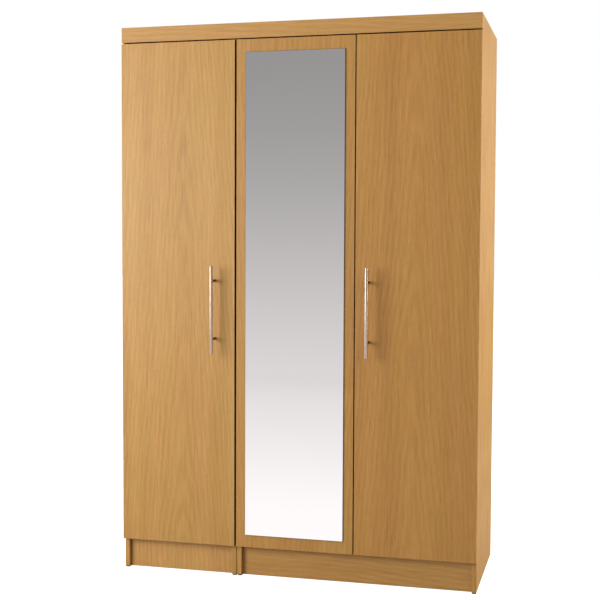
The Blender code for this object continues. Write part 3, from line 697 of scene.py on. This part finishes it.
def screw_head():
    """A domed screw head with a cross recess, seated at Z 0."""
    radius, height = SCREW_RADIUS, SCREW_HEIGHT
    head = turned([(radius * 0.9, 0), (radius, height * 0.25), (radius * 0.93, height * 0.6),
                   (radius * 0.72, height * 0.88), (radius * 0.35, height)], SMALL_STEPS * 2)
    across = block((RECESS_LENGTH, RECESS_WIDTH, height))
    upright = block((RECESS_WIDTH, RECESS_LENGTH, height))
    raised = Matrix.Translation((0, 0, height * 1.05))
    for arm in (across, upright):
        tool = joined([(arm, raised)])
        head = cut(head, tool)
        arm.free()
    return head


def make_handle(door, name, steel, shaded_post_steel):
    """A turned bar with chamfered ends on two posts that are hollowed to fit it."""
    low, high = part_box(f"{name}_bar")
    middle = (low + high) / 2
    radius = (high.x - low.x) / 2
    half = (high.z - low.z) / 2
    # From the dimple in the bar's end, over the flat and the chamfer
    foot = [(radius * 0.55, -half + 0.0003), (radius * 0.62, -half), (radius - 0.0007, -half),
            (radius - 0.0002, -half + 0.0002), (radius, -half + 0.0008)]
    bar = turned(foot + [(across, -height) for across, height in reversed(foot)], ROUND_STEPS * 2)
    placed_bar = joined([(bar, Matrix.Translation(middle))])
    add_piece(f"{name}_turned_bar", placed_bar, door, steel, [f"{name}_bar"])
    bar.free()
    posts = [f"{name}_{end}_post" for end in ("lower", "upper")]
    copies = []
    for node in posts:
        post_low, post_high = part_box(node)
        post_radius = (post_high.x - post_low.x) / 2
        stand_off = post_high.y - middle.y
        seat = radius + SEAT_GAP
        # From the foot on the door to the hollow that the bar lies in
        rings = [circle(post_radius - 0.0004, 0.0, ROUND_STEPS), circle(post_radius, 0.0004, ROUND_STEPS)]
        for share in (1.0, 0.8, 0.6, 0.4, 0.2):
            flat = circle(share * post_radius, 0.0, ROUND_STEPS)
            rings.append([(x, y, stand_off - math.sqrt(seat ** 2 - x ** 2)) for x, y, _ in flat])
        seat_place = (middle.x, post_high.y, (post_low.z + post_high.z) / 2)
        copies.append((loft(rings), looking(seat_place, (0, -1, 0))))
    # The posts' steel is coloured far darker than the bar's, as painted shade
    add_piece(f"{name}_turned_posts", joined(copies), door, shaded_post_steel, posts)


def make_cup(low, high, facing_x):
    """A pressed hinge cup with its screw ears, inside the CAD cup's box. Return its parts and middle."""
    rim = high.y
    floor = low.y
    if facing_x > 0:
        centre_x = high.x - CUP_FLANGE_RADIUS
    else:
        centre_x = low.x + CUP_FLANGE_RADIUS
    centre = Vector((centre_x, rim, (low.z + high.z) / 2))
    depth = rim - floor
    seat = -CUP_FLANGE
    profile = [(CUP_OUTER_RADIUS - CUP_FOOT_ROUNDING, -depth),
               (CUP_OUTER_RADIUS, -depth + CUP_FOOT_ROUNDING),
               (CUP_OUTER_RADIUS, seat),
               (CUP_FLANGE_RADIUS, seat),
               (CUP_FLANGE_RADIUS, -FLANGE_ROUNDING),
               (CUP_FLANGE_RADIUS - FLANGE_ROUNDING, 0.0),
               (CUP_INNER_RADIUS + CUP_MOUTH_ROUNDING, 0.0),
               (CUP_INNER_RADIUS, -CUP_MOUTH_ROUNDING),
               (CUP_INNER_RADIUS, -depth + CUP_FLOOR + CUP_INSIDE_ROUNDING),
               (CUP_INNER_RADIUS - CUP_INSIDE_ROUNDING, -depth + CUP_FLOOR)]
    parts = [(turned(profile), looking(centre, (0, 1, 0)))]
    ear_reach = high.z - centre.z
    ear_start = CUP_INNER_RADIUS + EAR_START
    for side in (-1, 1):
        middle_z = side * (ear_reach + ear_start) / 2
        length = ear_reach - ear_start
        # Trims off the ear's size, with heights
        rings = [oval(length - trim, 2 * EAR_RADIUS - trim, height) for trim, height in
                 ((0.0, seat + 0.00005), (0.0, -0.0004), (0.0006, -0.0001))]
        ear = Vector((centre.x + facing_x * EAR_OFFSET, rim, centre.z + middle_z))
        turn = Matrix.Rotation(math.pi / 2, 4, "Z")
        parts.append((loft(rings), looking(ear, (0, 1, 0)) @ turn))
    return parts, centre


def make_hinges(door, facing_x, screw, nickel):
    """Detailed cups and links for one door, with the screws of its cups and arms."""
    cups, cup_screws, arm_screws = [], [], []
    for number in (1, 2, 3):
        low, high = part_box(f"{door}_hinge_cup_{number}")
        parts, centre = make_cup(low, high, facing_x)
        cups += parts
        for side in (-1, 1):
            ear = (centre.x + facing_x * EAR_OFFSET, centre.y, centre.z + side * EAR_SCREW_HEIGHT)
            cup_screws.append((screw, looking(ear, (0, 1, 0))))
        arm_low, arm_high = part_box(f"{door}_hinge_arm_{number}")
        inner_x = arm_high.x if facing_x > 0 else arm_low.x
        wall_x = arm_low.x if facing_x > 0 else arm_high.x
        link_x = wall_x + facing_x * LINK_FROM_WALL
        link_size = (LINK_THICKNESS, arm_low.y - low.y - CUP_FLOOR - SEAT_GAP, LINK_HEIGHT)
        link_y = low.y + CUP_FLOOR / 2 + link_size[1] / 2
        link_place = Matrix.Translation((link_x, link_y, centre.z))
        cups.append((block(link_size, LINK_ROUNDING), link_place))
        wing_x = wall_x + facing_x * WING_THICKNESS
        for side in (-1, 1):
            wing = (wing_x, arm_high.y - WING_FROM_REAR, centre.z + side * WING_SCREW_HEIGHT)
            arm_screws.append((screw, looking(wing, (facing_x, 0, 0))))
        for back in ARM_SCREWS_FROM_REAR:
            top = (inner_x - facing_x * SCREW_IN_ARM, arm_high.y - back, centre.z)
            arm_screws.append((screw, looking(top, (facing_x, 0, 0))))
    nodes = [f"{door}_hinge_cup_{number}" for number in (1, 2, 3)]
    add_piece(f"{door}_pressed_cups", joined(cups), door, nickel, nodes)
    add_piece(f"{door}_cup_screws", joined(cup_screws), door, nickel)
    add_piece(f"{door}_arm_screws", joined(arm_screws), "carcass", nickel)


def make_rail(chrome, zinc):
    """A smooth oval tube in two sockets with rounded lips."""
    low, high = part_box("right_unit_hanging_rail")
    tall, deep, half = high.z - low.z, high.y - low.y, (high.x - low.x) / 2
    inner_tall, inner_deep = tall - 2 * RAIL_WALL, deep - 2 * RAIL_WALL
    outside = [oval(tall, deep, -half), oval(tall, deep, half)]
    bore = [oval(inner_tall, inner_deep, half), oval(inner_tall, inner_deep, -half)]
    tube = loft(outside + bore, ring_shaped=True)
    place = Matrix.Translation((low + high) / 2) @ Matrix.Rotation(math.pi / 2, 4, "Y")
    add_piece("hanging_rail_tube", joined([(tube, place)]), "carcass", chrome,
              ["right_unit_hanging_rail"])
    for side, sign in (("left", 1), ("right", -1)):
        node = f"right_unit_rail_socket_{side}"
        low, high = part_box(node)
        tall, deep, depth = high.z - low.z, high.y - low.y, high.x - low.x
        # Trims off the oval's size, with heights: a rounded lip, then down into the hole
        steps = ((0.0, 0.0), (0.0, depth - 0.0010), (0.0006, depth - 0.0003), (0.0020, depth),
                 (SOCKET_HOLE_TRIM - 0.0012, depth), (SOCKET_HOLE_TRIM, depth - 0.0008),
                 (SOCKET_HOLE_TRIM, SOCKET_FLOOR))
        cup = loft([oval(tall - trim, deep - trim, height) for trim, height in steps])
        wall_x = low.x if sign > 0 else high.x
        place = Matrix.Translation((wall_x, (low.y + high.y) / 2, (low.z + high.z) / 2))
        turn = Matrix.Rotation(sign * math.pi / 2, 4, "Y")
        add_piece(f"rail_socket_cup_{side}", joined([(cup, place @ turn)]), "carcass", zinc,
                  [node])


def make_shelf_pins(nickel):
    """Pins in the left unit's sides that carry its three lower shelves."""
    # From the end in the hole, over the collar on the wall, to the free end
    pin = turned([(PIN_RADIUS * 0.8, -PIN_IN_HOLE), (PIN_RADIUS, -PIN_IN_HOLE + 0.0005),
                  (PIN_RADIUS, 0.0001), (PIN_COLLAR_RADIUS - 0.0003, 0.0001),
                  (PIN_COLLAR_RADIUS, 0.0004), (PIN_COLLAR_RADIUS, PIN_COLLAR - 0.0003),
                  (PIN_COLLAR_RADIUS - 0.0003, PIN_COLLAR), (PIN_RADIUS, PIN_COLLAR),
                  (PIN_RADIUS, PIN_REACH - 0.0005), (PIN_RADIUS * 0.75, PIN_REACH)], SMALL_STEPS)
    walls = ((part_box("left_unit_left_side")[1].x, 1), (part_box("left_unit_right_side")[0].x, -1))
    pins = []
    for number in (1, 2, 3):
        low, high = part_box(f"left_unit_shelf_{number}")
        for wall_x, sign in walls:
            for y in (low.y + PIN_FROM_FRONT, high.y - PIN_FROM_REAR):
                place = (wall_x, y, low.z - PIN_RADIUS - SEAT_GAP / 2)
                pins.append((pin, looking(place, (sign, 0, 0))))
    add_piece("shelf_pins", joined(pins), "carcass", nickel)
    pin.free()


def make_caps(plastic):
    """Plastic caps over the cam fittings, under the fixed boards and over the base boards."""
    cap = turned([(CAP_RADIUS, 0.00005), (CAP_RADIUS, CAP_HEIGHT * 0.4),
                  (CAP_RADIUS - 0.0006, CAP_HEIGHT * 0.9), (CAP_RADIUS * 0.5, CAP_HEIGHT)])
    caps = []
    for node in ("left_unit_top", "left_unit_top_shelf", "left_unit_base",
                 "right_unit_top", "right_unit_hat_shelf", "right_unit_base"):
        low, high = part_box(node)
        z, direction = (high.z, (0, 0, 1)) if node.endswith("_base") else (low.z, (0, 0, -1))
        for x in (low.x + CAP_INSET, high.x - CAP_INSET):
            for y in (low.y + 2 * CAP_INSET, high.y - 2 * CAP_INSET):
                caps.append((cap, looking((x, y, z), direction)))
    add_piece("cam_caps", joined(caps), "carcass", plastic)
    cap.free()


def make_joining_bolts(nickel):
    """Flat bolt heads where the two carcasses are joined side to side."""
    # A rounded rim, a nearly flat face, and a round recess in its middle
    bolt = turned([(BOLT_RADIUS - 0.0004, 0.0), (BOLT_RADIUS, 0.0004), (BOLT_RADIUS, 0.0011),
                   (BOLT_RADIUS - 0.0005, 0.0016), (0.0024, 0.0017), (0.0023, 0.0006)], SMALL_STEPS * 2)
    left_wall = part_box("left_unit_right_side")[0].x
    right_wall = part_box("right_unit_left_side")[1].x
    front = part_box("left_unit_right_side")[0].y
    base_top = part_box("left_unit_base")[1].z
    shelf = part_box("left_unit_top_shelf")[0].z
    heads = []
    for z in (base_top + BOLT_FROM_SHELVES, shelf - BOLT_FROM_SHELVES):
        for y in (front + BOLTS_FROM_FRONT[0], front + BOLTS_FROM_FRONT[1]):
            heads.append((bolt, looking((left_wall, y, z), (-1, 0, 0))))
            heads.append((bolt, looking((right_wall, y, z), (1, 0, 0))))
    add_piece("joining_bolts", joined(heads), "carcass", nickel)
    bolt.free()


def make_buffers(door, facing_x, rubber):
    """Soft discs that the door closes on, at its free edge."""
    low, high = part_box(f"{door}_panel")
    inset_x, inset_z = BUFFER_INSET
    x = high.x - inset_x if facing_x > 0 else low.x + inset_x
    disc = turned([(BUFFER_RADIUS, 0.0001), (BUFFER_RADIUS, BUFFER_HEIGHT * 0.45),
                   (BUFFER_RADIUS * 0.8, BUFFER_HEIGHT * 0.85), (BUFFER_RADIUS * 0.4, BUFFER_HEIGHT)],
                  SMALL_STEPS * 2)
    discs = [(disc, looking((x, high.y, z), (0, 1, 0))) for z in (low.z + inset_z, high.z - inset_z)]
    add_piece(f"{door}_buffers", joined(discs), door, rubber)
    disc.free()


def make_panel_pins(nickel):
    """Small nails that hold the hardboard backs to the rear edges of the base boards."""
    nail = turned([(NAIL_RADIUS, 0.00002), (NAIL_RADIUS, NAIL_HEIGHT * 0.6),
                   (NAIL_RADIUS * 0.7, NAIL_HEIGHT)], SMALL_STEPS)
    nails = []
    for back in ("left_unit_back", "right_unit_back_left", "right_unit_back_right"):
        low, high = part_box(back)
        count = int((high.x - low.x) / NAIL_SPACING)
        for step in range(count):
            x = low.x + (step + 0.5) * (high.x - low.x) / count
            nails.append((nail, looking((x, high.y, low.z + NAIL_FROM_EDGE), (0, 1, 0))))
    add_piece("panel_pins", joined(nails), "carcass", nickel)
    nail.free()


def soften_arms():
    """Round the edges of the hinge arms a little."""
    for name, node in NODES.items():
        if "hinge_arm" in name:
            node.modifiers.new("weld", "WELD").merge_threshold = 0.00001
            bevel = node.modifiers.new("rounded_edges", "BEVEL")
            bevel.width = ARM_ROUNDING
            bevel.segments = 2
            bevel.limit_method = "ANGLE"


def make_materials():
    """The fittings' materials, by name."""
    return {
        "nickel": metal_material("nickel_plate_surface", (0.63, 0.60, 0.56), 0.27, (500.0, 500.0, 500.0)),
        "zinc": metal_material("zinc_casting_surface", (0.52, 0.52, 0.53), 0.42, (900.0, 900.0, 900.0),
                               scratch_depth=0.00004),
        "chrome": metal_material("chrome_plate_surface", (0.74, 0.75, 0.77), 0.10, (60.0, 1500.0, 1500.0),
                                 spread=0.05),
        "steel": metal_material("satin_steel_surface", (0.53, 0.40, 0.31), 0.38, (1800.0, 1800.0, 30.0)),
        # The posts take the bar's steel coloured far darker, as painted shade
        "post": metal_material("post_steel_painted_shade", (0.12, 0.065, 0.045), 0.46, (1800.0, 30.0, 1800.0)),
        "glide": plastic_material("glide_plastic_surface", (0.045, 0.038, 0.032)),
        "strip": plastic_material("strip_plastic_surface", (0.40, 0.25, 0.13)),
        "rubber": plastic_material("buffer_rubber_surface", (0.55, 0.50, 0.43), 0.6),
    }


def dress_cad_nodes(materials):
    """Give every CAD node a procedural material: its own for a board, or a shared one for a fitting."""
    by_word = (("hinge_cup", "nickel"), ("hinge_arm", "nickel"), ("socket", "zinc"), ("handle", "steel"),
               ("hanging_rail", "chrome"), ("glide", "glide"), ("back_strip", "strip"))
    for seed, node in enumerate(sorted(NODES)):
        found = [materials[name] for word, name in by_word if word in node]
        if found:
            material = found[0]
        elif node == "mirror_glass":
            material = mirror_material(node)
        elif "_back" in node:
            material = hardboard_material(node, seed)
        else:
            raw_rear = "_side" in node or node.endswith("_top")
            material = foil_material(node, seed, raw_rear)
        for slot in NODES[node].material_slots:
            slot.material = material


def add_fittings(materials):
    """Every piece that is finer than the CAD model, or too small for it."""
    screw = screw_head()
    for door, facing_x in (("left_door", 1), ("mirror_door", 1), ("right_door", -1)):
        make_hinges(door, facing_x, screw, materials["nickel"])
        make_buffers(door, facing_x, materials["rubber"])
    screw.free()
    make_handle("left_door", "left_handle", materials["steel"], materials["post"])
    make_handle("right_door", "right_handle", materials["steel"], materials["post"])
    make_rail(materials["chrome"], materials["zinc"])
    make_shelf_pins(materials["nickel"])
    make_caps(materials["strip"])
    make_joining_bolts(materials["nickel"])
    make_panel_pins(materials["nickel"])
    soften_arms()


def make_camera():
    """The camera that sees the wardrobe from the right of its middle."""
    data = bpy.data.cameras.new("camera")
    data.lens = CAMERA_LENS
    data.sensor_width = CAMERA_SENSOR
    camera = bpy.data.objects.new("camera", data)
    bpy.context.scene.collection.objects.link(camera)
    turn = Matrix.Rotation(CAMERA_TURN, 4, "Z") @ Matrix.Rotation(math.pi / 2 - CAMERA_DOWN, 4, "X")
    roll = Matrix.Rotation(CAMERA_ROLL, 4, "Z")
    camera.matrix_world = Matrix.Translation(CAMERA_PLACE) @ turn @ roll
    bpy.context.scene.camera = camera


def make_softbox(name, place, target, size, power):
    """An area light that looks at a point."""
    data = bpy.data.lights.new(name, "AREA")
    data.shape = "RECTANGLE"
    data.size, data.size_y = size
    data.energy = power
    light = bpy.data.objects.new(name, data)
    bpy.context.scene.collection.objects.link(light)
    light.location = Vector(place)
    light.rotation_euler = (Vector(target) - Vector(place)).to_track_quat("-Z", "Y").to_euler()


def make_world(fill):
    """White behind the wardrobe, and a soft even fill for everything else."""
    world = bpy.data.worlds.new("studio")
    bpy.context.scene.world = world
    world.use_nodes = True
    nodes = Nodes(world.node_tree)
    seen = nodes.add("LightPath", {}, output="Is Camera Ray")
    strength = nodes.maths("MULTIPLY_ADD", seen, 1.0 - fill, fill)
    background = world.node_tree.nodes["Background"]
    background.inputs["Color"].default_value = (1.0, 1.0, 1.0, 1.0)
    nodes.feed(background.inputs["Strength"], strength)


def flat_sheet(name, rows, half_width):
    """A sheet along X through rows of (y, z) points."""
    shape = bmesh.new()
    pairs = [[shape.verts.new((x, y, z)) for x in (-half_width, half_width)] for y, z in rows]
    for (a, b), (c, d) in zip(pairs, pairs[1:]):
        shape.faces.new((a, b, d, c))
    sheet = bpy.data.objects.new(name, finished_mesh(shape, name))
    bpy.context.scene.collection.objects.link(sheet)
    return sheet


def make_floor():
    """A plain pale floor. It glows for the camera, and for gloss where it nears the sweep."""
    rows = ((-FLOOR_HALF_WIDTH, 0.0), (FLOOR_HALF_WIDTH, 0.0))
    floor = flat_sheet("floor", rows, FLOOR_HALF_WIDTH)
    material, shader, nodes = new_material("pale_floor")
    mottle = nodes.noise(nodes.scaled(own_place(nodes), FLOOR_MOTTLE), detail=3.0)
    tone = nodes.maths("ADD", mottle, 0.5)
    pale = nodes.ramp(tone, ((0.0, FLOOR_DARKER), (1.0, FLOOR_PALER)))
    seen = nodes.add("LightPath", {}, output="Is Camera Ray")
    paper = nodes.mix_colours(seen, FLOOR_BOUNCE, pale)
    glossy = nodes.add("LightPath", {}, output="Is Glossy Ray")
    y = nodes.parts(own_place(nodes))[1]
    near_sweep = nodes.between(y, SWEEP_NEAR, DOOR_LINE, MIRRORED_GLOW, 0.0)
    mirrored = nodes.maths("MULTIPLY", glossy, near_sweep)
    glow = nodes.maths("MULTIPLY", nodes.maths("MAXIMUM", seen, mirrored), FLOOR_GLOW)
    set_surface(nodes, shader, Base_Color=paper, Roughness=0.9, Specular_IOR_Level=0.0,
                Emission_Color=(1.0, 1.0, 1.0, 1.0), Emission_Strength=glow)
    floor.data.materials.append(material)


def make_sweep():
    """A paper sweep that only the mirror and the gloss see: bright on the floor, grey up the wall."""
    rows = ((SWEEP_NEAR, SWEEP_LIFT), (SWEEP_WALL, SWEEP_LIFT), (SWEEP_WALL, SWEEP_TOP))
    sweep = flat_sheet("reflection_sweep", rows, SWEEP_HALF_WIDTH)
    material = bpy.data.materials.new("sweep_paper")
    material.use_nodes = True
    nodes = Nodes(material.node_tree)
    material.node_tree.nodes.remove(material.node_tree.nodes["Principled BSDF"])
    _, y, z = nodes.parts(own_place(nodes))
    run = nodes.maths("SUBTRACT", z, y)
    stops = [(at / SWEEP_RUN, (level, level, level)) for at, level in SWEEP_GREYS]
    grey = nodes.ramp(nodes.maths("DIVIDE", run, SWEEP_RUN), stops)
    glow = nodes.add("Emission", {"Color": grey, "Strength": 1.0})
    nodes.feed(material.node_tree.nodes["Material Output"].inputs["Surface"], glow)
    sweep.data.materials.append(material)
    sweep.visible_camera = False
    sweep.visible_diffuse = False
    sweep.visible_shadow = False
    sweep.visible_transmission = False


surfaces = make_materials()
dress_cad_nodes(surfaces)
add_fittings(surfaces)
make_camera()
make_world(WORLD_FILL)
make_floor()
make_sweep()
for softbox, settings in SOFTBOXES.items():
    make_softbox(softbox, *settings)
bpy.context.scene.view_settings.view_transform = "Standard"
